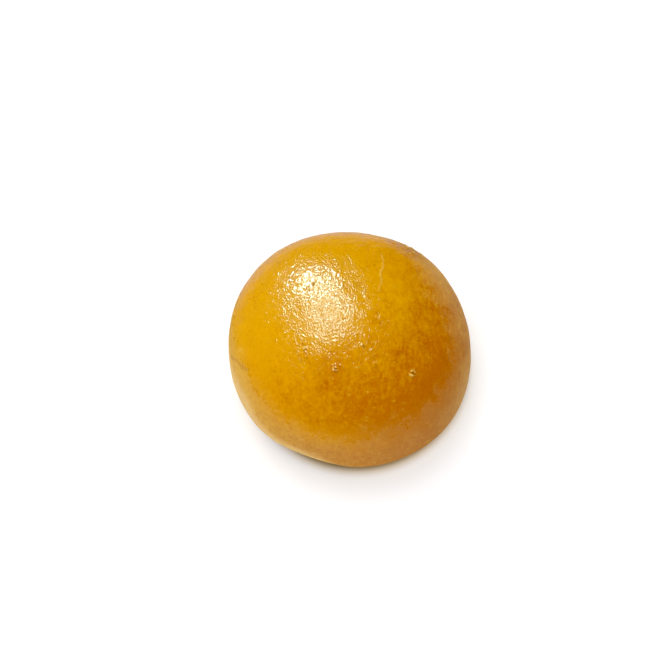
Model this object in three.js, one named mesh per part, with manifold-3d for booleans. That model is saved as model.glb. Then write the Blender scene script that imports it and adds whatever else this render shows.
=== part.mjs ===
import * as THREE from "three";
import { mergeVertices } from "three/addons/utils/BufferGeometryUtils.js";
import Module from "manifold-3d";

// A potato slider roll: one baked piece with a domed, glossy crown, a pale side and a flat base.
// Millimetres, +Z up. The origin is the middle of the base, and the front of the roll faces -Y.

// Driving dimensions of the roll as a turned form
const DIAMETER = 75;
const HEIGHT = 42;
const WAIST_HEIGHT = 12.5; // height of the widest line round the side
const UNDERCUT = 14; // radius of the arc by which the side turns in below the waist
const UNDERSIDE_ARC = THREE.MathUtils.degToRad(60); // part of that arc above the base's edge

// Uneven outline, seen from above: a long way across, four soft corners and one flattened stretch
const OVAL = 0.5; // extra radius along the long way, taken off across it
const OVAL_AZIMUTH = THREE.MathUtils.degToRad(139);
const CORNERS = 0.36; // extra radius at each soft corner
const CORNER_AZIMUTH = THREE.MathUtils.degToRad(48);
const FLAT_DEPTH = 2.3; // how far the front left of the waist is pressed in
const FLAT_AZIMUTH = THREE.MathUtils.degToRad(-111);
const FLAT_WIDTH = THREE.MathUtils.degToRad(17);
const FLAT_TALLNESS = 9; // how far above and below the waist the pressed place reaches
const FOOT_REACH = 1.5; // how far the base's edge stands out under the pressed place
const FOOT_WIDTH = THREE.MathUtils.degToRad(24);

// Gentle swells of the risen dough over the crown
const SWELL = 0.3;
const SWELL_TURNS_X = 4.3;
const SWELL_TURNS_Y = 3.7;
const SWELL_PHASE = 0.8;

// Facets
const SEGMENTS = 96;
const CROWN_RINGS = 26;
const UNDERSIDE_RINGS = 8;
const BASE_RING_SHARE = 0.6; // radius of the ring inside the flat base
const BEAD_SEGMENTS = 12;
const BEAD_RINGS = 8;

// Crust relief. A spot is a direction from the middle of the roll at waist height, in degrees:
// azimuth from +X towards +Y, then elevation above level.
const BLISTERS = [
  { azimuth: -92, elevation: 59, across: 1.9, rise: 0.4 },
  { azimuth: -40, elevation: 44, across: 2.6, rise: 0.5 },
  { azimuth: -68, elevation: 71, across: 1.4, rise: 0.3 },
  { azimuth: -53, elevation: 57, across: 1.3, rise: 0.3 },
  { azimuth: -146, elevation: 59, across: 1.3, rise: 0.3 },
];
const PITS = [
  { azimuth: 134, elevation: 60, across: 1.6, depth: 0.35 },
  { azimuth: 143, elevation: 59, across: 1.2, depth: 0.3 },
  { azimuth: -151, elevation: 86, across: 1.4, depth: 0.3 },
];
const RIDGE = { azimuth: 56, elevation: 58, along: 10, across: 1.1, rise: 0.3, turn: 115 };
const CREASE = { azimuth: -165, elevation: 17, along: 8, across: 1, depth: 0.5, turn: 53 };

// A patch of small knobs on the back right of the crown, spread by the golden angle
const KNOB_COUNT = 11;
const KNOB_PATCH = { azimuth: 56, elevation: 22, wide: 11, tall: 9 };
const KNOB_ACROSS = 2.6;
const KNOB_RISE = 0.7;
const KNOB_TAPER = 0.45; // share of its size that a knob at the patch's rim has lost
const GOLDEN_ANGLE = Math.PI * (3 - Math.sqrt(5));

const MERGE_DISTANCE = 1e-4;
const RADIUS = DIAMETER / 2;
const CROWN_HEIGHT = HEIGHT - WAIST_HEIGHT;
const MIDDLE = new THREE.Vector3(0, 0, WAIST_HEIGHT);
const UP = new THREE.Vector3(0, 0, 1);

const wasm = await Module();
wasm.setup();

// Half section from the middle of the base, round the side and up to the top of the crown
function sectionPoints() {
  const baseRadius = RADIUS - UNDERCUT * (1 - Math.cos(UNDERSIDE_ARC));
  const points = [new THREE.Vector2(0, 0), new THREE.Vector2(baseRadius * BASE_RING_SHARE, 0)];
  for (let ring = UNDERSIDE_RINGS; ring > 0; ring--) {
    const turn = (UNDERSIDE_ARC * ring) / UNDERSIDE_RINGS;
    const radius = RADIUS - UNDERCUT * (1 - Math.cos(turn));
    const height = WAIST_HEIGHT * (1 - Math.sin(turn) / Math.sin(UNDERSIDE_ARC));
    points.push(new THREE.Vector2(radius, height));
  }
  for (let ring = 0; ring < CROWN_RINGS; ring++) {
    const turn = (Math.PI / 2) * (ring / CROWN_RINGS);
    const height = WAIST_HEIGHT + CROWN_HEIGHT * Math.sin(turn);
    points.push(new THREE.Vector2(RADIUS * Math.cos(turn), height));
  }
  points.push(new THREE.Vector2(0, HEIGHT));
  return points;
}

// Smooth hump of height 1 at an azimuth, falling off to both sides of it
function humpAt(azimuth, middle, width) {
  const away = Math.atan2(Math.sin(azimuth - middle), Math.cos(azimuth - middle));
  return Math.exp(-((away / width) ** 2));
}

// Radius added to the turned form at an azimuth and height, as it is for the full waist radius
function outlineChange(azimuth, height) {
  const oval = OVAL * Math.cos(2 * (azimuth - OVAL_AZIMUTH));
  const corners = CORNERS * Math.cos(4 * (azimuth - CORNER_AZIMUTH));
  const nearWaist = Math.exp(-(((height - WAIST_HEIGHT) / FLAT_TALLNESS) ** 2));
  const flat = FLAT_DEPTH * humpAt(azimuth, FLAT_AZIMUTH, FLAT_WIDTH) * nearWaist;
  const nearBase = Math.max(0, 1 - height / WAIST_HEIGHT);
  const foot = FOOT_REACH * humpAt(azimuth, FLAT_AZIMUTH, FOOT_WIDTH) * nearBase ** 2;
  return oval + corners - flat + foot;
}

// Swell of the crown along a direction from the middle of the roll; none below the waist
function swellAlong(direction) {
  const waveX = Math.sin(SWELL_TURNS_X * direction.x + SWELL_PHASE);
  const waveY = Math.cos(SWELL_TURNS_Y * direction.y - SWELL_PHASE);
  return SWELL * waveX * waveY * Math.max(0, direction.z);
}

// The turned form made uneven, point by point
function unevenRoll() {
  const roll = new THREE.LatheGeometry(sectionPoints(), SEGMENTS);
  roll.rotateX(Math.PI / 2);
  const corners = roll.attributes.position;
  const point = new THREE.Vector3();
  const direction = new THREE.Vector3();
  for (let i = 0; i < corners.count; i++) {
    point.fromBufferAttribute(corners, i);
    const stretch = 1 + outlineChange(Math.atan2(point.y, point.x), point.z) / RADIUS;
    point.x *= stretch;
    point.y *= stretch;
    direction.subVectors(point, MIDDLE).normalize();
    point.addScaledVector(direction, swellAlong(direction));
    corners.setXYZ(i, point.x, point.y, point.z);
  }
  return roll;
}

// Closed solid of a geometry whose corners are merged and whose empty triangles are dropped
function solidOf(geometry) {
  geometry.deleteAttribute("normal");
  geometry.deleteAttribute("uv");
  const merged = mergeVertices(geometry, MERGE_DISTANCE);
  const index = merged.index.array;
  const triVerts = [];
  for (let i = 0; i < index.length; i += 3) {
    const [a, b, c] = [index[i], index[i + 1], index[i + 2]];
    if (a !== b && b !== c && c !== a) {
      triVerts.push(a, b, c);
    }
  }
  const mesh = new wasm.Mesh({
    numProp: 3,
    vertProperties: new Float32Array(merged.attributes.position.array),
    triVerts: new Uint32Array(triVerts),
  });
  return new wasm.Manifold(mesh);
}

// Geometry of a solid, for the mesh that carries it
function geometryOf(solid) {
  const mesh = solid.getMesh();
  const geometry = new THREE.BufferGeometry();
  geometry.setAttribute("position", new THREE.BufferAttribute(mesh.vertProperties, 3));
  geometry.setIndex(new THREE.BufferAttribute(mesh.triVerts, 1));
  geometry.computeVertexNormals();
  return geometry;
}

// Place on the crust in a direction from the middle: the point and the way straight out of it
function crustAt(surface, azimuth, elevation) {
  const level = THREE.MathUtils.degToRad(azimuth);
  const rise = THREE.MathUtils.degToRad(elevation);
  const outward = new THREE.Vector3(Math.cos(level), Math.sin(level), 0);
  outward.multiplyScalar(Math.cos(rise)).addScaledVector(UP, Math.sin(rise));
  const start = MIDDLE.clone().addScaledVector(outward, DIAMETER);
  const ray = new THREE.Raycaster(start, outward.clone().negate());
  const hit = ray.intersectObject(surface)[0];
  return { point: hit.point, normal: hit.face.normal.clone() };
}

// Flattened bead centred on the crust; half of it lies inside. Its long side is turned from level.
function bead(place, along, across, thickness, turn = 0) {
  const shape = new THREE.SphereGeometry(0.5, BEAD_SEGMENTS, BEAD_RINGS);
  const level = new THREE.Vector3().crossVectors(UP, place.normal).normalize();
  level.applyAxisAngle(place.normal, THREE.MathUtils.degToRad(turn));
  const side = new THREE.Vector3().crossVectors(place.normal, level);
  const frame = new THREE.Matrix4().makeBasis(level, side, place.normal);
  shape.scale(along, across, thickness);
  shape.applyMatrix4(frame);
  shape.translate(place.point.x, place.point.y, place.point.z);
  return solidOf(shape);
}

// The knobs of the patch: a spiral of beads that get smaller away from its middle
function knobs(surface) {
  const beads = [];
  for (let i = 0; i < KNOB_COUNT; i++) {
    const away = Math.sqrt((i + 0.5) / KNOB_COUNT);
    const azimuth = KNOB_PATCH.azimuth + KNOB_PATCH.wide * away * Math.cos(i * GOLDEN_ANGLE);
    const elevation = KNOB_PATCH.elevation + KNOB_PATCH.tall * away * Math.sin(i * GOLDEN_ANGLE);
    const size = 1 - KNOB_TAPER * away;
    const place = crustAt(surface, azimuth, elevation);
    beads.push(bead(place, KNOB_ACROSS * size, KNOB_ACROSS * size, 2 * KNOB_RISE * size));
  }
  return beads;
}

function makeRoll() {
  const form = unevenRoll();
  const surface = new THREE.Mesh(form);
  let solid = solidOf(form.clone());
  for (const { azimuth, elevation, across, rise } of BLISTERS) {
    solid = solid.add(bead(crustAt(surface, azimuth, elevation), across, across, 2 * rise));
  }
  const ridgePlace = crustAt(surface, RIDGE.azimuth, RIDGE.elevation);
  solid = solid.add(bead(ridgePlace, RIDGE.along, RIDGE.across, 2 * RIDGE.rise, RIDGE.turn));
  for (const knob of knobs(surface)) {
    solid = solid.add(knob);
  }
  for (const { azimuth, elevation, across, depth } of PITS) {
    solid = solid.subtract(bead(crustAt(surface, azimuth, elevation), across, across, 2 * depth));
  }
  const creasePlace = crustAt(surface, CREASE.azimuth, CREASE.elevation);
  solid = solid.subtract(bead(creasePlace, CREASE.along, CREASE.across, 2 * CREASE.depth, CREASE.turn));
  const crust = new THREE.MeshStandardMaterial({ color: 0xcd8a12, roughness: 0.35, metalness: 0 });
  const roll = new THREE.Mesh(geometryOf(solid), crust);
  roll.name = "roll";
  return roll;
}

const part = new THREE.Group();
part.add(makeRoll());

export default part;
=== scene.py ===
# %% [markdown]
# # A potato slider roll
# A potato slider roll is a small soft bun. Its dough is rounded by hand, brushed with egg wash and baked,
# so the crown turns glossy gold while the side stays pale and dull and the bottom bakes flat on the
# sheet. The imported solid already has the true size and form. This lesson loads it as a fixed frame, grows
# a fine crust over it with Geometry Nodes, writes the baked colours as a node material, and lights it.

import math

import bpy
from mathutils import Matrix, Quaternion, Vector


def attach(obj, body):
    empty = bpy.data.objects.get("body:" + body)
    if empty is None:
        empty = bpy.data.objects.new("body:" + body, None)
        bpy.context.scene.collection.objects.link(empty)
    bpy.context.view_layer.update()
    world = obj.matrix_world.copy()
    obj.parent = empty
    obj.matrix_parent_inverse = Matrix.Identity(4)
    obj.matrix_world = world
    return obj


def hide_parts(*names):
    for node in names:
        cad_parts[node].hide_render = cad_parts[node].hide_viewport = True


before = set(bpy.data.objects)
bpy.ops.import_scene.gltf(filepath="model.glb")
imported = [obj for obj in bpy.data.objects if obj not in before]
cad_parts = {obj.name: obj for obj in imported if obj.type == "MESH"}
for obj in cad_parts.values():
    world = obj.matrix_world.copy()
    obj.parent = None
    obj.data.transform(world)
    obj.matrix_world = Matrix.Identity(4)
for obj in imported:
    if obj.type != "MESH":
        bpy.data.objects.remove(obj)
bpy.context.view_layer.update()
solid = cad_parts["roll"]
MM = 0.001


# %% [markdown]
# ## Node trees as expressions
# Both the shape and the finish of the crust are sums and products of a few fields, such as height, noise
# and the distance from a blister. Linking dozens of Math nodes by hand hides those sums. A small class
# that wraps a socket and overloads the operators lets them be written as they are read, and each operator
# adds its node. One method of the tree makes every node that isn't arithmetic.

# %% A socket that does arithmetic


class Wire:
    """One output socket of a node tree. Arithmetic on it adds Math nodes to the same tree."""

    def __init__(self, nodes, socket):
        self.nodes = nodes
        self.socket = socket

    def math(self, operation, *others):
        return self.nodes.add("ShaderNodeMath", {"operation": operation}, [self, *others])

    def vector(self, operation, *others, output=0):
        return self.nodes.add("ShaderNodeVectorMath", {"operation": operation}, [self, *others], output)

    def output(self, name):
        """Another output of the same node."""
        return Wire(self.nodes, self.socket.node.outputs[name])

    def __add__(self, other):
        return self.math("ADD", other)

    def __sub__(self, other):
        return self.math("SUBTRACT", other)

    def __rsub__(self, other):
        return (self * -1.0).math("ADD", other)

    def __mul__(self, other):
        return self.math("MULTIPLY", other)

    def __truediv__(self, other):
        return self.math("DIVIDE", other)

    def __rtruediv__(self, other):
        return self.math("POWER", -1.0) * other

    def __pow__(self, other):
        return self.math("POWER", other)

    __radd__ = __add__
    __rmul__ = __mul__


print("arithmetic on sockets: + - * / and powers add Math nodes")

# %% A tree to write in


class Nodes:
    """A node tree to write in."""

    def __init__(self, tree):
        self.tree = tree
        tree.nodes.clear()

    def add(self, kind, settings=None, sockets=None, output=0):
        """Makes a node, sets it, fills or links its sockets by place or name, and returns one output."""
        node = self.tree.nodes.new(kind)
        for name, value in (settings or {}).items():
            setattr(node, name, value)
        named = sockets.items() if isinstance(sockets, dict) else enumerate(sockets or [])
        for key, value in named:
            if isinstance(value, Wire):
                self.tree.links.new(value.socket, node.inputs[key])
            else:
                node.inputs[key].default_value = value
        return Wire(self, node.outputs[output]) if node.outputs else node


print("node trees are ready to be written in")

# %% [markdown]
# ## Fields that come back
# Dough is uneven at every size, and every change on a crust is gradual. So almost everything below is
# built from four fields: noise with lumps of a known width, the same noise swinging about zero, a smooth
# step between two values, and a bell round one value. A Color Ramp could draw the steps, but then the two
# values would hide in its stops.

# %% Noise, step and bell
NOISE_MIDDLE = 0.5


def noise(place, feature, detail=2.0, twist=0.0):
    """Random field from 0 to 1 whose lumps are about one feature size across."""
    sockets = {"Vector": place, "Scale": 1.0 / feature, "Detail": detail, "Distortion": twist}
    return place.nodes.add("ShaderNodeTexNoise", None, sockets)


def swing(place, feature, detail=2.0, twist=0.0):
    """The same random field, swinging about zero."""
    return noise(place, feature, detail, twist) - NOISE_MIDDLE


def rise_between(value, low, high):
    """0 below low, 1 above high, and a smooth step between them."""
    sockets = {"Value": value, "From Min": low, "From Max": high}
    return value.nodes.add("ShaderNodeMapRange", {"interpolation_type": "SMOOTHSTEP"}, sockets)


def bell(value, middle, width):
    """1 where the value is at the middle, falling off on both sides of it."""
    return (((value - middle) / width) ** 2.0 * -1.0).math("EXPONENT")


def clamped(value, low, high):
    """The value, kept between low and high."""
    return value.math("MAXIMUM", low).math("MINIMUM", high)


print("fields ready: noise, swing, rise between, bell")

# %% [markdown]
# ## Places on the crust
# The roll has a few marks that an eye catches: burst blisters, pits in the gloss, a thin raised seam, a
# crease on the left and a patch of knobs at the back. Each is named by the direction in which it is seen
# from the middle of the roll, in degrees round and up. A ray cast from outside finds the point on the
# solid, so a mark always sits on the crust. The knobs are spread by the golden angle, which leaves no
# rows.

# %% Marks of the crust, found on the solid
WAIST_HEIGHT = 12.5 * MM
MIDDLE = Vector((0.0, 0.0, WAIST_HEIGHT))
BLISTERS = [(-106, 58.5, 1.9), (-40.5, 44, 2.6), (-68, 71, 1.4), (-63, 59, 1.3), (-146, 59, 1.3)]
PITS = [(134, 60, 1.6), (143, 59, 1.2), (-151, 86, 1.4)]
SEAM = [(67, 42.5), (61, 50), (58.5, 56.5), (51, 61), (44, 67.5)]
CREASE = [(-172.5, 9.5), (-167.5, 16.5), (-163.5, 19), (-159, 23.5)]
KNOB_COUNT = 11
KNOB_PATCH = (56, 22)
KNOB_SPREAD = (11, 9)
KNOB_ACROSS = 2.6 * MM
KNOB_TAPER = 0.45
GOLDEN_ANGLE = math.pi * (3 - math.sqrt(5))


def crust_point(azimuth, elevation):
    """Point of the solid in a direction from the middle of the roll, in degrees."""
    round_by = math.radians(azimuth)
    up_by = math.radians(elevation)
    level = math.cos(up_by)
    out = Vector((level * math.cos(round_by), level * math.sin(round_by), math.sin(up_by)))
    found, point, _, _ = solid.ray_cast(MIDDLE + out, -out)
    assert found, "the ray missed the solid"
    return point


def knob_places():
    """Points and sizes of the knobs: a spiral that gets smaller away from the middle of the patch."""
    azimuth, elevation = KNOB_PATCH
    wide, tall = KNOB_SPREAD
    for i in range(KNOB_COUNT):
        away = math.sqrt((i + 0.5) / KNOB_COUNT)
        turn = i * GOLDEN_ANGLE
        place = crust_point(azimuth + wide * away * math.cos(turn), elevation + tall * away * math.sin(turn))
        yield place, KNOB_ACROSS * (1 - KNOB_TAPER * away)


blisters = [(crust_point(azimuth, elevation), across * MM) for azimuth, elevation, across in BLISTERS]
pits = [(crust_point(azimuth, elevation), across * MM) for azimuth, elevation, across in PITS]
knobs = list(knob_places())
knob_middle = crust_point(*KNOB_PATCH)
seam = [crust_point(*place) for place in SEAM]
crease = [crust_point(*place) for place in CREASE]
print("marks:", len(blisters), "blisters,", len(pits), "pits,", len(knobs), "knobs, one seam, one crease")

# %% [markdown]
# ## The form of the roll
# A roll could be sculpted, or the solid could be subdivided, but its facets would then show in the gloss.
# Its form follows a rule, so Geometry Nodes work it out at every point instead. A fine cube is blown out
# along rays from the middle: above the waist to an ellipse, below it to an arc that turns in to the flat
# base. A cube has no pole, so the crown, which shows most, has even square cells.

# %% The turned form, as far as a ray reaches
FORM = {
    "Diameter": 75 * MM,
    "Height": 42 * MM,
    "Waist height": WAIST_HEIGHT,
    "Undercut": 14 * MM,
    "Underside arc": math.radians(60),
    "Oval": 0.5 * MM,
    "Oval azimuth": math.radians(139),
    "Corners": 0.36 * MM,
    "Corner azimuth": math.radians(48),
    "Flat depth": 2.3 * MM,
    "Flat azimuth": math.radians(-111),
    "Flat width": math.radians(17),
    "Flat tallness": 9 * MM,
    "Foot reach": 1.5 * MM,
    "Foot width": math.radians(24),
    "Swell": 0.3 * MM,
}
LEAST_DROP = 1e-4


def turned_reach(size, level, up):
    """How far the turned form reaches from its middle along a ray with these level and upward parts."""
    radius = size["Diameter"] / 2.0
    waist = size["Waist height"]
    crown = ((level / radius) ** 2.0 + (up / (size["Height"] - waist)) ** 2.0) ** -0.5
    undercut = size["Undercut"]
    inner = radius - undercut
    arc_depth = waist / size["Underside arc"].math("SINE")
    spread = (level / undercut) ** 2.0 + (up / arc_depth) ** 2.0
    lean = inner * level / undercut ** 2.0
    inside = (inner / undercut) ** 2.0 - 1.0
    side = (lean + (lean ** 2.0 - spread * inside).math("MAXIMUM", 0.0) ** 0.5) / spread
    base = waist / (up * -1.0).math("MAXIMUM", LEAST_DROP)
    base_radius = inner + undercut * size["Underside arc"].math("COSINE")
    over_base = (up * -1.0 * base_radius).math("GREATER_THAN", level * waist)
    over_waist = up.math("GREATER_THAN", 0.0)
    below = base * over_base + side * (1.0 - over_base)
    return crown * over_waist + below * (1.0 - over_waist)


print("form sizes:", ", ".join(FORM))

# %% [markdown]
# ## The uneven outline
# No hand-rounded roll is a true circle. This one is a little longer one way, has four soft corners, and
# is flattened at the front left, where the base's edge stands out below. The risen dough also swells in
# broad soft waves over the crown. All of it is added to the turned form as smooth functions of the
# azimuth, the height and the direction, the same ones that shape the solid, so crust and solid agree to a
# fraction of a millimetre.

# %% Outline and swells, added to the turned form
SWELL_TURNS_X = 4.3
SWELL_TURNS_Y = 3.7
SWELL_PHASE = 0.8


def split(vector):
    """The three parts of a vector."""
    node = vector.nodes.tree.nodes.new("ShaderNodeSeparateXYZ")
    vector.nodes.tree.links.new(vector.socket, node.inputs[0])
    return [Wire(vector.nodes, socket) for socket in node.outputs]


def join(nodes, *parts):
    """A vector of three parts."""
    return nodes.add("ShaderNodeCombineXYZ", None, list(parts))


def scaled(nodes, vector, factor):
    """A vector times a value."""
    return nodes.add("ShaderNodeVectorMath", {"operation": "SCALE"}, {"Vector": vector, "Scale": factor})


def hump(azimuth, middle, width):
    """Smooth hump of height 1 round one azimuth."""
    turn = azimuth - middle
    away = turn.math("SINE").math("ARCTAN2", turn.math("COSINE"))
    return bell(away, 0.0, width)


def outline_change(size, azimuth, height):
    """Radius that the uneven outline adds to the turned form."""
    waist = size["Waist height"]
    oval = size["Oval"] * ((azimuth - size["Oval azimuth"]) * 2.0).math("COSINE")
    corners = size["Corners"] * ((azimuth - size["Corner azimuth"]) * 4.0).math("COSINE")
    near_waist = bell(height, waist, size["Flat tallness"])
    flat = size["Flat depth"] * hump(azimuth, size["Flat azimuth"], size["Flat width"]) * near_waist
    near_base = (1.0 - height / waist).math("MAXIMUM", 0.0) ** 2.0
    foot = size["Foot reach"] * hump(azimuth, size["Flat azimuth"], size["Foot width"]) * near_base
    return oval + corners - flat + foot


def crust_form(nodes, size, direction):
    """Position of the crust along a direction from the middle, without fine relief."""
    x, y, up = split(direction)
    level = (x * x + y * y) ** 0.5
    reach = turned_reach(size, level, up)
    height = size["Waist height"] + reach * up
    stretch = 1.0 + outline_change(size, y.math("ARCTAN2", x), height) / (size["Diameter"] / 2.0)
    from_middle = join(nodes, reach * x * stretch, reach * y * stretch, reach * up)
    way = from_middle.vector("NORMALIZE")
    way_x, way_y, way_up = split(way)
    wave_x = (way_x * SWELL_TURNS_X + SWELL_PHASE).math("SINE")
    wave_y = (way_y * SWELL_TURNS_Y - SWELL_PHASE).math("COSINE")
    swell = size["Swell"] * wave_x * wave_y * way_up.math("MAXIMUM", 0.0)
    swollen = from_middle.vector("ADD", scaled(nodes, way, swell))
    return swollen.vector("ADD", join(nodes, 0.0, 0.0, size["Waist height"]))


print("outline: flattened by", FORM["Flat depth"] / MM, "mm at the front left")

# %% [markdown]
# ## The marks
# Steam lifts the skin into small blisters. When one bursts, it leaves a broken ring round a hole. The
# ring's shine is a painted highlight, and the dark hole and a darker crescent on one side, away from the
# key light, are painted shade. Pits are only sunk, with no highlight, and painted dark as shade in the
# hollow. Knobs have pale tops, partly a painted highlight, with brown between them that is partly real
# and partly painted shade. The seam is a thin ridge painted pale as a highlight, and the crease a groove
# painted dark as shade. Each mark could be modelled as a little mesh. Written as bells of the distance
# from its place, it melts into the crust instead. The same function gives the height for the mesh and
# the painted shade and highlight for the colour, so both always lie in the same place.

# %% Round marks: blisters, pits and knobs
MARK_SWAY = (1.0 * MM, 1.4 * MM)
BLISTER_RISE = 0.12
BLISTER_RING = (0.6, 0.3)
BLISTER_HOLE = 0.36
BLISTER_SHADE = Vector((0.16, -0.2, -0.1))
SHADE_RING = (0.3, 0.6)
SHINE_RING = (0.64, 0.26)
PIT_DEPTH = 0.26
PIT_WIDTH = 0.6
KNOB_RISE = 0.27
KNOB_WIDTH = 0.7
KNOB_PATCH_WIDTH = 5.5 * MM
# The hole's depth and painted shade, the marks' painted shade, and the painted highlight on knob tops:
DARKEST_HOLE = 0.9
DARK_MARK = 0.8
PALE_LIT_TOP = 0.9


def distance(place, point):
    """Distance from a point."""
    return place.vector("DISTANCE", point, output="Value")


def share_away(place, point, across):
    """Distance from a point, as a share of half the mark's width."""
    return distance(place, point) / (across / 2)


def wandering(place, feature, far):
    """The place moved about by noise, so that what is drawn from it isn't quite straight or round."""
    sway = place.nodes.add("ShaderNodeTexNoise", None, {"Vector": place, "Scale": 1.0 / feature}, "Color")
    return place.vector("ADD", scaled(place.nodes, sway.vector("SUBTRACT", (0.5, 0.5, 0.5)), far))


def blister_mark(uneven, sparkle, point, across):
    """Height, painted shade and painted highlight of one burst blister."""
    away = share_away(uneven, point, across)
    hole = bell(away, 0.0, BLISTER_HOLE)
    height = (bell(away, *BLISTER_RING) - hole * DARKEST_HOLE) * (BLISTER_RISE * across)
    shaded = share_away(uneven, point + BLISTER_SHADE * across, across)
    # Painted shade: a crescent on the side away from the key light, and the hole.
    dark = bell(shaded, *SHADE_RING) * DARK_MARK + hole * DARKEST_HOLE
    return height, dark, bell(away, *SHINE_RING) * sparkle


def pit_mark(uneven, point, across):
    """Height of one pit, its painted shade, and no highlight."""
    sunk = bell(share_away(uneven, point, across), 0.0, PIT_WIDTH)
    return sunk * (-PIT_DEPTH * across), sunk * DARK_MARK, 0.0


def knob_marks(place, uneven):
    """Height of the patch of knobs, the darkening between them (real brown and painted shade), and the
    painted highlight on their tops.
    """
    height = 0.0
    tops = 0.0
    for point, across in knobs:
        rise = bell(share_away(uneven, point, across), 0.0, KNOB_WIDTH)
        height = rise * (KNOB_RISE * across) + height
        tops = rise.math("MAXIMUM", tops)
    patch = bell(distance(place, knob_middle), 0.0, KNOB_PATCH_WIDTH)
    return height, patch * (1.0 - tops) * DARK_MARK, patch * tops ** 2.0 * PALE_LIT_TOP


print("largest blister rises", round(BLISTER_RISE * max(across for _, _, across in BLISTERS), 2), "mm")

# %% Drawn marks: seam and crease, and all marks together
LINE_SWAY = (2.5 * MM, 1.2 * MM)
# The seam is painted lighter as a highlight, the crease darker as shade in its groove:
SEAM_WIDTH = 0.3 * MM
SEAM_RISE = 0.14 * MM
SEAM_SHINE = 0.25
SEAM_SPARKLE = 0.4
CREASE_WIDTH = 0.45 * MM
CREASE_DEPTH = 0.25 * MM
CREASE_DARK = 0.5
SPARKLE_GRAIN = (0.8 * MM, 0.5)
SPARKLE_RANGE = (0.46, 0.58)


def line_distance(place, start, end):
    """Distance from the straight line between two points."""
    run = end - start
    along = place.vector("SUBTRACT", start).vector("DOT_PRODUCT", run / run.length_squared, output="Value")
    foot = scaled(place.nodes, run, clamped(along, 0.0, 1.0))
    return distance(place, foot.vector("ADD", start))


def path_distance(place, points):
    """Distance from the nearest of the straight runs between points."""
    nearest, *others = [line_distance(place, *ends) for ends in zip(points, points[1:])]
    for run in others:
        nearest = nearest.math("MINIMUM", run)
    return nearest


def line_marks(place, sparkle):
    """Height of the seam and the crease, the crease's painted shade and the seam's painted highlight."""
    wavy = wandering(place, *LINE_SWAY)
    ridge = bell(path_distance(wavy, seam), 0.0, SEAM_WIDTH)
    groove = bell(path_distance(wavy, crease), 0.0, CREASE_WIDTH)
    height = ridge * SEAM_RISE - groove * CREASE_DEPTH
    return height, groove * CREASE_DARK, ridge * (sparkle * SEAM_SPARKLE + SEAM_SHINE)


def mark_relief(place):
    """Height of all the marks, and how much painted shade and painted highlight they lay on the crust."""
    uneven = wandering(place, *MARK_SWAY)
    sparkle = rise_between(noise(place, *SPARKLE_GRAIN), *SPARKLE_RANGE)
    marks = [blister_mark(uneven, sparkle, *blister) for blister in blisters]
    marks += [pit_mark(uneven, *pit) for pit in pits]
    marks += [knob_marks(place, uneven), line_marks(place, sparkle)]
    return [sum(parts) for parts in zip(*marks)]


print("seam of", len(seam) - 1, "runs, crease of", len(crease) - 1, "runs")

# %% [markdown]
# ## The skin of the crust
# Dough skin dries before it sets, so the crown wrinkles finely, and steam leaves low pebbles and broad
# shallow dents. The side stays smoother. Bump shading alone would leave the outline and the mesh smooth.
# So relief wide enough for the cells, about a millimetre and more, moves the points along their normals,
# and only finer grain is left to the material.

# %% Relief of the skin, in metres along the normal
WRINKLE_WIDTH = 1.3 * MM
WRINKLE_HEIGHT = 0.16 * MM
PEBBLE_WIDTH = 3.4 * MM
PEBBLE_HEIGHT = 0.26 * MM
DENT_WIDTH = 12 * MM
DENT_HEIGHT = 0.5 * MM
SIDE_WIDTH = 1.6 * PEBBLE_WIDTH
SIDE_HEIGHT = 0.10 * MM
CROWN_BAND = (13 * MM, 27 * MM)
BASE_BAND = (0.2 * MM, 2.5 * MM)


def skin_relief(place):
    """Height of the wrinkled skin: fine on the crown, smoother on the side and none on the base."""
    height = split(place)[2]
    wrinkle = swing(place, WRINKLE_WIDTH, twist=0.8) * WRINKLE_HEIGHT
    pebble = swing(place, PEBBLE_WIDTH, detail=1.0, twist=0.4) * PEBBLE_HEIGHT
    dent = swing(place, DENT_WIDTH, detail=1.0) * DENT_HEIGHT
    side = swing(place, SIDE_WIDTH) * SIDE_HEIGHT
    on_crown = rise_between(height, *CROWN_BAND)
    off_base = rise_between(height, *BASE_BAND)
    return (wrinkle + pebble) * on_crown + (dent + side) * off_base


print("skin relief: wrinkles", WRINKLE_HEIGHT / MM, "mm, pebbles", PEBBLE_HEIGHT / MM, "mm")

# %% [markdown]
# ## Growing the crust
# The tree is put together here: cube, form, softened base edge, relief, smooth shading. It ends in
# Realize Instances and Set Material, and the evaluated result becomes a plain mesh that takes the place
# of the solid in the picture. The sizes are the modifier's inputs, so they can be changed without
# touching the tree.

# %% The tree of the crust
CAGE_SIZE = (2.0, 2.0, 2.0)
CAGE_CELLS = {"Vertices X": 133, "Vertices Y": 133, "Vertices Z": 113}
CAGE_LIFT = (0.0, 0.0, 0.4)
EDGE_BLUR = 5
EDGE_BAND = (0.4 * MM, 1.6 * MM)
crust_material = bpy.data.materials.new("egg washed crust")


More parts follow.
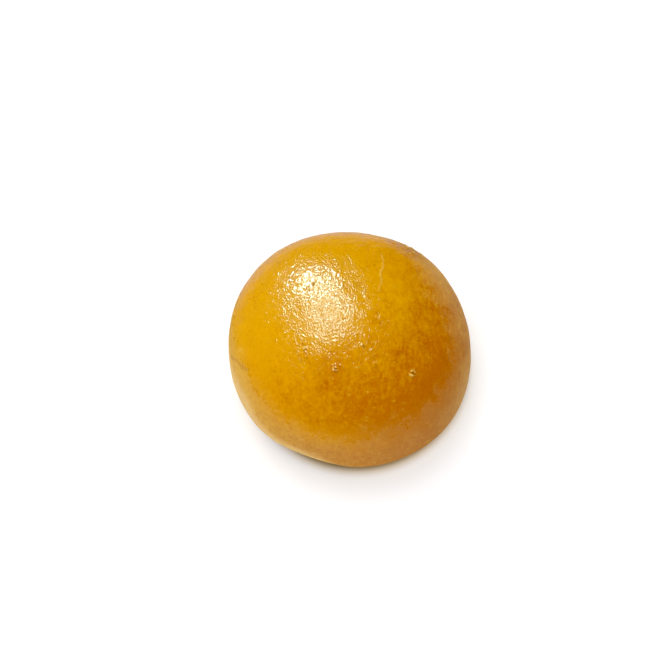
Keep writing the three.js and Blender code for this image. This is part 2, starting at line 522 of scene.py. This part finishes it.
def crust_tree():
    """Geometry Nodes tree of the crust, with a named input for each size of its form."""
    tree = bpy.data.node_groups.new("roll crust", "GeometryNodeTree")
    tree.interface.new_socket("Geometry", in_out="OUTPUT", socket_type="NodeSocketGeometry")
    for name in FORM:
        tree.interface.new_socket(name, in_out="INPUT", socket_type="NodeSocketFloat")
    nodes = Nodes(tree)
    inputs = nodes.tree.nodes.new("NodeGroupInput")
    size = {name: Wire(nodes, inputs.outputs[name]) for name in FORM}
    position = nodes.add("GeometryNodeInputPosition")
    cage = nodes.add("GeometryNodeMeshCube", None, {"Size": CAGE_SIZE, **CAGE_CELLS})
    direction = position.vector("ADD", CAGE_LIFT).vector("NORMALIZE")
    shape = {"Geometry": cage, "Position": crust_form(nodes, size, direction)}
    formed = nodes.add("GeometryNodeSetPosition", None, shape)
    near_edge = 1.0 - rise_between(split(position)[2], *EDGE_BAND)
    soft = {"Value": position, "Iterations": EDGE_BLUR, "Weight": near_edge}
    blurred = nodes.add("GeometryNodeBlurAttribute", {"data_type": "FLOAT_VECTOR"}, soft)
    softened = nodes.add("GeometryNodeSetPosition", None, {"Geometry": formed, "Position": blurred})
    relief = skin_relief(position) + mark_relief(position)[0]
    out = scaled(nodes, nodes.add("GeometryNodeInputNormal"), relief)
    grown = nodes.add("GeometryNodeSetPosition", None, {"Geometry": softened, "Offset": out})
    smooth = nodes.add("GeometryNodeSetShadeSmooth", None, {"Geometry": grown})
    real = nodes.add("GeometryNodeRealizeInstances", None, {"Geometry": smooth})
    dressed = nodes.add("GeometryNodeSetMaterial", None, {"Geometry": real, "Material": crust_material})
    nodes.add("NodeGroupOutput", None, {"Geometry": dressed})
    return tree


roll_crust = crust_tree()
print("crust tree:", len(roll_crust.nodes), "nodes")

# %% The crust piece


def plain_mesh(name, tree, values):
    """An object at the origin with the plain mesh that the tree makes from these named values."""
    piece = bpy.data.objects.new(name, bpy.data.meshes.new(name))
    bpy.context.scene.collection.objects.link(piece)
    modifier = piece.modifiers.new("grow", "NODES")
    modifier.node_group = tree
    for item in tree.interface.items_tree:
        if item.in_out == "INPUT":
            modifier[item.identifier] = values[item.name]
    evaluated = piece.evaluated_get(bpy.context.evaluated_depsgraph_get())
    mesh = bpy.data.meshes.new_from_object(evaluated)
    piece.modifiers.clear()
    piece.data = mesh
    return piece


crust = plain_mesh("crust", roll_crust, FORM)
print("crust:", len(crust.data.vertices), "points,", 2 * len(crust.data.polygons), "triangles")

# %% [markdown]
# ## The baked finish: what it is written with
# A photograph wrapped round the roll would bring its light along, and the hidden sides would be missing.
# So the finish is written as a node material that reads Object coordinates, and the colours stay fixed to
# the roll from every side. It is built from a few named fields: where a point lies, and noises of several
# widths, from broad mottles to streaks, specks and dust. Each zone below mixes these fields in its own
# shares.
# Some shade and some highlights are still painted into these colours; the zones below say where.

# %% Named fields of the finish, and helpers that mix them
GRAIN_SWAY = (2.0 * MM, 0.8 * MM)
GRAIN_RUN = (1.0, 0.8, 1.0)
GRAIN_WIDTH = 0.5 * MM
MOTTLE_SHIFT = Vector((9, 4, 2)) * MM
STREAK_RUN = (1.0, 0.5, 0.7)


def skin_grain(place):
    """Height of the finest skin, swinging about zero: brushed lumps of half a millimetre."""
    brushed = wandering(place, *GRAIN_SWAY).vector("MULTIPLY", GRAIN_RUN)
    return swing(brushed, GRAIN_WIDTH, detail=0.3, twist=0.4)


def crust_fields(nodes):
    """The fields that the finish is written with, by name."""
    place = nodes.add("ShaderNodeTexCoord", None, None, "Object")
    x, y, height = split(place)
    return {
        "place": place,
        "x": x,
        "y": y,
        "height": height,
        "azimuth": y.math("ARCTAN2", x),
        "mottle": swing(place.vector("ADD", MOTTLE_SHIFT), 4.5 * MM, detail=4.0, twist=0.6),
        "patch": swing(place, 2.2 * MM),
        "dust": swing(place, 1.6 * MM, detail=5.0, twist=0.8),
        "streak": swing(place.vector("MULTIPLY", STREAK_RUN), 0.9 * MM, detail=3.0),
        "speck": swing(place, 0.9 * MM, twist=0.4),
        "grain": skin_grain(place),
    }


def mixed(at, shares):
    """Sum of named fields, each times its share."""
    return sum(at[name] * share for name, share in shares.items())


def humps(at, rows):
    """Sum of smooth humps round the roll, each with its azimuth and width in degrees and its height."""
    turns = [(math.radians(middle), math.radians(width), height) for middle, width, height in rows]
    return sum(hump(at["azimuth"], middle, width) * height for middle, width, height in turns)


def blend(share, first, second):
    """Colour between two colours."""
    return share.nodes.add("ShaderNodeMix", {"data_type": "RGBA"}, {0: share, 6: first, 7: second}, 2)


print("finest grain of the finish:", GRAIN_WIDTH / MM, "mm")

# %% [markdown]
# ## Egg wash
# Egg wash is brushed over the crown just before baking. It sets the line between glossy gold and dull
# tan: about 26 mm up, lower where the brush ran over the side, and ragged. A painted mask would need a UV
# map and an image. A height with a few humps round the roll, roughened by mottles and specks, draws the
# same line with a handful of numbers. Where the wash ran thin, the line is softer.

# %% Where the egg wash reached
WASH_HEIGHT = 26 * MM
WASH_SHIFTS = [
    (28, 30, 4 * MM),
    (112, 40, -4 * MM),
    (157, 14, -5 * MM),
    (172, 22, -4 * MM),
    (-103, 45, -2.1 * MM),
]
WASH_CRISPNESS = 0.95
WASH_SOFTER = [(-66, 50, -0.45), (28, 30, -0.4)]
WASH_RAGGED = {"mottle": 7 * MM, "speck": 3.5 * MM}
WASH_BAND = (-4.5 * MM, 4.5 * MM)


def egg_wash(at):
    """1 on the washed crown, 0 below the ragged edge of the wash."""
    above = at["height"] - (humps(at, WASH_SHIFTS) + WASH_HEIGHT)
    crispness = humps(at, WASH_SOFTER) + WASH_CRISPNESS
    return rise_between(above * crispness + mixed(at, WASH_RAGGED), *WASH_BAND)


print("wash ends", WASH_HEIGHT / MM, "mm up, shifted at", len(WASH_SHIFTS), "places")

# %% [markdown]
# ## The browned crown
# An oven browns unevenly: this crown runs from clear gold at the back left to deep brown at the front
# right. That run is partly real browning and partly painted shade on the side away from the key light. A
# plain gradient would look sprayed on, so streaks, specks and mottles break it up, least where it is
# palest, and two pools lie where the wash stood thicker or thinner. Low on the front the wash is thin and
# browns less. Short raised dashes, left by the brush, catch the light below the gloss, and their lighter
# colour is a painted highlight. They are drawn on chosen cells of a Voronoi pattern.

# %% Dashes left by the brush
DASH_SWAY = (1.0 * MM, 0.8 * MM)
DASH_RUN = (0.6, 1.2, 1.0)
DASH_SPACING = 1.6 * MM
DASH_CHOSEN = (0.5, 0.75)
DASH_WIDTH = 0.22
DASH_ZONE = 13 * MM
DASH_INSIDE = 0.85
DASH_OUTSIDE = 0.15
dash_middle = crust_point(-75, 52)


def brush_dashes(place):
    """Short dashes on some cells of a random pattern, from 0 to 1, mostly on the front of the crown."""
    stretched = wandering(place, *DASH_SWAY).vector("MULTIPLY", DASH_RUN)
    sockets = {"Vector": stretched, "Scale": 1.0 / DASH_SPACING}
    cell = place.nodes.add("ShaderNodeTexVoronoi", None, sockets)
    chosen = rise_between(split(cell.output("Color"))[0], *DASH_CHOSEN)
    zone = bell(distance(place, dash_middle), 0.0, DASH_ZONE)
    return bell(cell, 0.0, DASH_WIDTH) * chosen * (zone * DASH_INSIDE + DASH_OUTSIDE)


print("dashes round", [round(c / MM, 1) for c in dash_middle], "mm")

# %% Colour of the crown
GOLD = (0.66, 0.318, 0.011, 1.0)
BROWN = (0.45, 0.122, 0.009, 1.0)
DARK = (0.27, 0.07, 0.006, 1.0)
# The next colour is a painted highlight, laid on the raised brush dashes.
GLINT = (0.72, 0.42, 0.04, 1.0)
# Browner towards the front right, away from the key light: partly real browning, partly painted shade.
BROWNED_AND_SHADED_SIDE = {"x": 0.0155 / MM, "y": -0.0135 / MM}
PALER_UP = 0.0243 / MM
EVEN_BELOW = 29 * MM
BROWN_LEVEL = 1.2
BROWN_UNEVEN = {"mottle": 0.8, "streak": 1.05, "speck": 0.8, "grain": 0.4}
CALM_LEVEL = 0.35
CALM_RISE = 0.9
CALM_RANGE = (0.3, 1.0)
POOLS = [(crust_point(-110, 57), 5 * MM, 0.25), (crust_point(25, 65), 8 * MM, -0.14)]
BROWN_RANGE = (-0.1, 1.1)
THIN_FRONT = [(-105, 42, 0.65)]
THIN_BAND = (23 * MM, 34 * MM)
DASH_HIGHLIGHT = 0.8
DARK_MOTTLE = {"mottle": 1.0, "speck": 0.7}
DARK_RANGE = (0.10, 0.34)
DARK_SHARE = 0.3
# Painted shade: the hollows of the grain are darkened.
HOLLOW_SHADE_GRAIN = {"grain": 1.0, "patch": 0.4}
HOLLOW_SHADE_RANGE = (-0.05, 0.04)
HOLLOW_SHADE_SHARE = 0.07


def browning_and_shade(at):
    """How far the crown has browned, from 0 to 1; deeper towards the front right partly as painted shade."""
    browned_and_shaded = mixed(at, BROWNED_AND_SHADED_SIDE) - at["height"].math("MAXIMUM", EVEN_BELOW) * PALER_UP + BROWN_LEVEL
    calm = clamped(browned_and_shaded * CALM_RISE + CALM_LEVEL, *CALM_RANGE)
    pools = sum(bell(distance(at["place"], middle), 0.0, width) * change for middle, width, change in POOLS)
    deeper = browned_and_shaded + mixed(at, BROWN_UNEVEN) * calm + pools
    thin = humps(at, THIN_FRONT) * (1.0 - rise_between(at["height"], *THIN_BAND))
    return rise_between(deeper, *BROWN_RANGE) * (1.0 - thin)


def crown_colour(at, dashes):
    """Gold to brown, partly painted shade, with painted highlights on the dashes, dark mottles and painted
    shade in the hollows of the grain.
    """
    gold = blend(browning_and_shade(at), GOLD, BROWN)
    # Painted highlight: the dashes are painted lighter on top of their raised relief.
    lit = blend(dashes * DASH_HIGHLIGHT, gold, GLINT)
    dark = rise_between(mixed(at, DARK_MOTTLE), *DARK_RANGE)
    # Painted shade in the hollows of the grain.
    hollow_shade = 1.0 - rise_between(mixed(at, HOLLOW_SHADE_GRAIN), *HOLLOW_SHADE_RANGE)
    return blend(dark * DARK_SHARE + hollow_shade * HOLLOW_SHADE_SHARE, lit, DARK)


print("pools on the crown:", len(POOLS))

# %% [markdown]
# ## The pale side
# Below the wash the crust bakes dry and dull. It is tan, deeper towards the front right, partly real and
# partly painted shade away from the key light. A paler pinkish stretch low on the right is partly its
# own colour and partly a painted sheen along the outline. It also has pale dust and darker stains.
# Towards the bottom, and highest on the front left, it stays cream. One even tan would look like plastic.
# Several close colours, each spread by its own noise, give the chalky look of real crust.

# %% Colour of the side
PALE_TAN = (0.635, 0.352, 0.038, 1.0)
DEEP_TAN = (0.445, 0.150, 0.018, 1.0)
PINK_SHEEN_TAN = (0.56, 0.30, 0.12, 1.0)
DUST = (0.60, 0.335, 0.062, 1.0)
DARK_TAN = (0.36, 0.12, 0.014, 1.0)
CREAM = (0.695, 0.45, 0.17, 1.0)
# Painted sheen: paler and pinker low on the right, partly the crust's own pinkish tan.
PINK_SHEEN_SIDE = [(-20, 20, 1.0)]
PINK_SHEEN_BAND = (17 * MM, 25 * MM)
PINK_SHEEN_SHARE = 0.55
PINK_SHEEN_PALER = 0.6
# Deeper tan towards the front right: partly real, partly painted shade away from the key light.
TAN_UNEVEN = {"x": 0.6 / (38 * MM), "y": -0.6 / (38 * MM), "mottle": 0.6, "streak": 1.4}
TAN_RANGE = (-0.6, 1.0)
DUST_RANGE = (0.0, 0.25)
DUST_SHARE = 0.5
STAIN = {"dust": -1.0, "speck": 0.4}
STAIN_RANGE = (0.0, 0.3)
STAIN_SHARE = 0.45
CREAM_HEIGHT = 11 * MM
CREAM_SHIFTS = [(-153, 27, 9 * MM), (-70, 38, -6 * MM)]
CREAM_CRISPNESS = 0.45
CREAM_CRISPER = [(-153, 27, 0.55)]
CREAM_RAGGED = {"mottle": 2 * MM, "speck": 3 * MM}
CREAM_BAND = (-2.5 * MM, 2.5 * MM)
CRUMBLY = {"dust": 1.0, "streak": 1.0}
CREAM_RANGE = (0.02, 0.3)
CREAM_TAN = 0.5


def tan_crust(at):
    """The dull tan of the unwashed side, with painted shade towards the front right and a painted sheen low
    on the right.
    """
    pink_sheen = humps(at, PINK_SHEEN_SIDE) * (1.0 - rise_between(at["height"], *PINK_SHEEN_BAND))
    baked_and_shaded = mixed(at, TAN_UNEVEN) - pink_sheen * PINK_SHEEN_PALER
    plain = blend(rise_between(baked_and_shaded, *TAN_RANGE), PALE_TAN, DEEP_TAN)
    pinkish_sheen = blend(pink_sheen * PINK_SHEEN_SHARE, plain, PINK_SHEEN_TAN)
    dusty = blend(rise_between(at["dust"], *DUST_RANGE) * DUST_SHARE, pinkish_sheen, DUST)
    return blend(rise_between(mixed(at, STAIN), *STAIN_RANGE) * STAIN_SHARE, dusty, DARK_TAN)


def side_colour(at):
    """Tan above, cream below a soft ragged line."""
    above = at["height"] - (humps(at, CREAM_SHIFTS) + CREAM_HEIGHT)
    crispness = humps(at, CREAM_CRISPER) + CREAM_CRISPNESS
    edge = above * crispness + mixed(at, CREAM_RAGGED)
    cream = blend(rise_between(mixed(at, CRUMBLY), *CREAM_RANGE) * CREAM_TAN, CREAM, PALE_TAN)
    return blend(rise_between(edge, *CREAM_BAND), cream, tan_crust(at))


print("cream reaches", round(CREAM_HEIGHT / MM), "mm up, shifted at", len(CREAM_SHIFTS), "places")

# %% [markdown]
# ## The rim and the toasted heel
# Where the roll stood on the hot sheet, its bottom edge toasts brown, and a pale rim runs above it. At
# the front left the brown reaches a little higher, and there it is partly toast and partly painted shade
# of the underside. Both follow one ragged height: below it toast, just above it the rim, and then the
# side. The toast itself has two browns, because a flat one would look like a painted stripe.

# %% Colour of the rim and the heel
RIM = (0.70, 0.46, 0.16, 1.0)
TOASTED = (0.20, 0.080, 0.018, 1.0)
HEEL = (0.38, 0.165, 0.03, 1.0)
# At the front left the heel rises, partly toast and partly painted shade of the underside:
HEEL_SHADE_RISE = [(-118, 42, 4.6 * MM)]
HEEL_RAGGED = {"mottle": 5 * MM, "speck": 2 * MM}
HEEL_BAND = (-0.4 * MM, 2.8 * MM)
RIM_BAND = (2.2 * MM, 4.2 * MM)
TOAST_RANGE = (-0.1, 0.25)


def heeled(at, upper):
    """The colour above, with the rim and the toasted heel below it; the heel's rise at the front left is
    partly painted shade.
    """
    ragged = at["height"] + mixed(at, HEEL_RAGGED) - humps(at, HEEL_SHADE_RISE)
    rim = blend(rise_between(ragged, *RIM_BAND), RIM, upper)
    toast = blend(rise_between(mixed(at, CRUMBLY), *TOAST_RANGE), TOASTED, HEEL)
    return blend(rise_between(ragged, *HEEL_BAND), toast, rim)


print("heel rises", HEEL_SHADE_RISE[0][2] / MM, "mm at the front left")

# %% [markdown]
# ## Putting the finish together
# The wash chooses between crown and side, the heel is laid under both, and the marks lay their painted
# shade and painted highlights on the result. The wash also sets the roughness, from dull to glossy. What
# makes the gloss look like crust is the bump: grain of half a millimetre, too fine for the mesh, breaks
# the reflection of a light into the flecks that an egg washed crust shows. Clear coat would add a second,
# smooth reflection over them, so it is left out.

# %% The crust's material
# Colour and limits of the marks' painted highlight and painted shade:
PALE_GLINT = (0.76, 0.50, 0.12, 1.0)
MARK_SHADE_SHARE = 0.7
MOST_MARK_SHADE = 0.8
MOST_LIGHT = 0.9
DULL = 0.65
GLOSSY = 0.13
GRAIN_DEPTH = 0.175
GRAIN_ON_SIDE = 0.4
DASH_HEIGHT = 0.13
MARK_SHARE = 0.1
BUMP_DISTANCE = 1 * MM


def marked(colour, dark, light):
    """The colour with the marks' painted shade and painted highlights on it."""
    mark_shaded = blend((dark * MARK_SHADE_SHARE).math("MINIMUM", MOST_MARK_SHADE), colour, DARK)
    return blend(light.math("MINIMUM", MOST_LIGHT), mark_shaded, PALE_GLINT)


def crust_finish(material):
    """Fills the crust's material."""
    material.use_nodes = True
    nodes = Nodes(material.node_tree)
    at = crust_fields(nodes)
    washed = egg_wash(at)
    dashes = brush_dashes(at["place"])
    marks, dark, light = mark_relief(at["place"])
    upper = blend(washed, side_colour(at), crown_colour(at, dashes))
    grain = (at["grain"] + NOISE_MIDDLE) * (washed * (1.0 - GRAIN_ON_SIDE) + GRAIN_ON_SIDE)
    skin = grain * GRAIN_DEPTH + dashes * DASH_HEIGHT + marks * (MARK_SHARE / MM)
    fine = {"Strength": 1.0, "Distance": BUMP_DISTANCE, "Height": skin}
    sockets = {
        "Base Color": marked(heeled(at, upper), dark, light),
        "Roughness": DULL - washed * (DULL - GLOSSY),
        "Normal": nodes.add("ShaderNodeBump", None, fine, "Normal"),
        "Specular IOR Level": 0.5,
    }
    shader = nodes.add("ShaderNodeBsdfPrincipled", None, sockets)
    nodes.add("ShaderNodeOutputMaterial", None, {"Surface": shader})


crust_finish(crust_material)
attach(crust, "root")
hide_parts("roll")
print("crust finished:", len(crust_material.node_tree.nodes), "nodes")

# %% [markdown]
# ## The table
# The roll sits on a plain pale sheet that glows a little, so that it stays near white as in a bright
# studio. The lights are broad and hardly shade the narrow gap under the side. The warm shade that bread
# throws on paper there is therefore part of the sheet's own finish: dark at the contact, with a soft
# fringe, and a little stronger at the front right, away from the main light. The sheet is stage and
# doesn't show in the gloss.

# %% Pale sheet with a contact shade
PALE_SHEET = (0.80, 0.81, 0.83, 1.0)
WHITE = (1.0, 1.0, 1.0, 1.0)
CONTACT_SHADE = (0.085, 0.04, 0.008, 1.0)
WARM_SHADE = (0.50, 0.38, 0.22, 1.0)
SHADE_MIDDLE = (2.3 * MM, -0.9 * MM, 0.0)
SHADE_BAND = (31.5 * MM, 35.2 * MM)
FRINGE_BAND = (32.5 * MM, 37.3 * MM)
TABLE_HALF = 3.0


def table_finish():
    """A pale sheet with a warm shade where the crust overhangs it."""
    material = bpy.data.materials.new("pale table")
    material.use_nodes = True
    nodes = Nodes(material.node_tree)
    away = distance(nodes.add("ShaderNodeTexCoord", None, None, "Object"), SHADE_MIDDLE)
    outside = rise_between(away, *SHADE_BAND)
    past_fringe = rise_between(away, *FRINGE_BAND)
    sockets = {
        "Base Color": blend(outside, CONTACT_SHADE, blend(past_fringe, WARM_SHADE, PALE_SHEET)),
        "Roughness": 0.9,
        "Specular IOR Level": 0.1,
        "Emission Color": blend(outside, CONTACT_SHADE, blend(past_fringe, WARM_SHADE, WHITE)),
        "Emission Strength": 0.24,
    }
    shader = nodes.add("ShaderNodeBsdfPrincipled", None, sockets)
    nodes.add("ShaderNodeOutputMaterial", None, {"Surface": shader})
    return material


def table_top(half):
    """A wide pale sheet at the height of the roll's base."""
    mesh = bpy.data.meshes.new("table")
    corners = [(-half, -half, 0), (half, -half, 0), (half, half, 0), (-half, half, 0)]
    mesh.from_pydata(corners, [], [(0, 1, 2, 3)])
    mesh.materials.append(table_finish())
    table = bpy.data.objects.new("table", mesh)
    bpy.context.scene.collection.objects.link(table)
    table.visible_glossy = False
    return table


table = table_top(TABLE_HALF)
print("stage:", table.name, 2 * TABLE_HALF, "m across")

# %% [markdown]
# ## The light
# A studio lights bread twice over: large soft lights give the colour, and what stands round it shows in
# the gloss. Here the two are kept apart, so each can be set alone. The key, two fills and a pale room
# light the roll without showing in its gloss. Two small panels, seen in reflections only, make the broken
# patch of gloss on the crown. Two cards, also only reflected, tint the grazing gloss along the outline: a
# golden one below and a bluish one behind. Blender's Area lights have the switches for this under Ray
# Visibility.

# %% Soft lights, gloss panels and the room
WINDOW_LIGHT = (0.64, 1.02, 0.94)
WARM_CARD = (1.0, 0.58, 0.05)
PALE_CARD = (0.1, 0.35, 1.0)
ROOM_GLOW = 0.74
# name, way to it from the roll, distance, width and height in metres, radiance
LAMPS = [
    ("key", (-0.223, 0.472, 0.854), 0.8, 0.6, 0.6, 2.6),
    ("front fill", (-0.6, -0.9, 0.6), 0.9, 0.7, 0.7, 1.7),
    ("right fill", (0.9, 0.35, 0.5), 1.1, 0.6, 0.6, 0.6),
]
# the same, then its turn in degrees and its colour
PANELS = [
    ("gloss", (-0.254, 0.311, 0.916), 0.9, 0.33, 0.34, 18.0, -4, WINDOW_LIGHT),
    ("hot gloss", (-0.40, 0.724, 0.562), 1.0, 0.25, 0.22, 66.0, 0, WINDOW_LIGHT),
    ("warm card", (0, 0, -1), 1.0, 8.0, 8.0, 0.62, 0, WARM_CARD),
    ("pale card", (0.06, 0.667, -0.743), 1.0, 1.6, 0.55, 0.60, 0, PALE_CARD),
]


def soft_light(name, toward, far, wide, tall, radiance, turn=0, colour=WHITE[:3], reflected=False):
    """A flat light that faces the roll. It either lights the roll or only shows in its gloss."""
    lamp = bpy.data.lights.new(name, "AREA")
    lamp.shape = "RECTANGLE"
    lamp.size = wide
    lamp.size_y = tall
    lamp.energy = radiance * math.pi * wide * tall
    lamp.color = colour
    light = bpy.data.objects.new(name, lamp)
    bpy.context.scene.collection.objects.link(light)
    way = Vector(toward).normalized()
    light.location = MIDDLE + way * far
    light.rotation_mode = "QUATERNION"
    light.rotation_quaternion = way.to_track_quat("Z", "Y") @ Quaternion((0, 0, 1), math.radians(turn))
    light.visible_camera = False
    light.visible_diffuse = not reflected
    light.visible_glossy = reflected
    lamp.cycles.use_multiple_importance_sampling = reflected


def pale_room(radiance):
    """An even glow from all round that lights the roll without showing in its gloss."""
    world = bpy.data.worlds.new("pale room")
    bpy.context.scene.world = world
    world.use_nodes = True
    background = world.node_tree.nodes["Background"]
    background.inputs["Color"].default_value = WHITE
    background.inputs["Strength"].default_value = radiance
    world.cycles_visibility.glossy = False


for row in LAMPS:
    soft_light(*row)
for row in PANELS:
    soft_light(*row, reflected=True)
pale_room(ROOM_GLOW)

# %% [markdown]
# ## The tone of the picture
# Filmic views soften bright colours, and the clear yellow of the crust would turn dull. The Standard view
# keeps it. A black point that is higher in blue takes the last trace of blue out of the gold, as strong
# processing does in a studio picture. It belongs to the picture alone, and the material's colours don't
# change.

# %% Plain view with a black point
BLACK_POINT = (0.003, 0.003, 0.017)
view = bpy.context.scene.view_settings
view.view_transform = "Standard"
view.use_curve_mapping = True
view.curve_mapping.black_level = BLACK_POINT
view.curve_mapping.update()
print("view:", view.view_transform, "with black point", BLACK_POINT)

# %% [markdown]
# ## The camera
# The picture looks steeply down on the crown, about seventy degrees above the base, through a long lens.
# The camera keeps its shift at zero: it simply looks at a point a little left of and above the roll's
# middle, which puts the roll where the photograph has it.

# %% Camera at the photograph's angle
ELEVATION = math.radians(70)
LENS = 97.0
SENSOR = 36.0
DISTANCE = 0.55
LOOK_AT = Vector((0.0, 0.0, 20 * MM))
SLIDE_RIGHT = -4.15 * MM
SLIDE_UP = 1.49 * MM


def photo_camera():
    """Makes the camera and sets it as the scene's."""
    camera = bpy.data.cameras.new("camera")
    camera.lens = LENS
    camera.sensor_width = SENSOR
    holder = bpy.data.objects.new("camera", camera)
    bpy.context.scene.collection.objects.link(holder)
    back = Vector((0.0, -math.cos(ELEVATION), math.sin(ELEVATION)))
    up = Vector((0.0, math.sin(ELEVATION), math.cos(ELEVATION)))
    target = LOOK_AT + Vector((SLIDE_RIGHT, 0.0, 0.0)) + up * SLIDE_UP
    holder.location = target + back * DISTANCE
    holder.rotation_mode = "QUATERNION"
    holder.rotation_quaternion = back.to_track_quat("Z", "Y")
    bpy.context.scene.camera = holder
    return holder


print("camera at", [round(c, 3) for c in photo_camera().location])
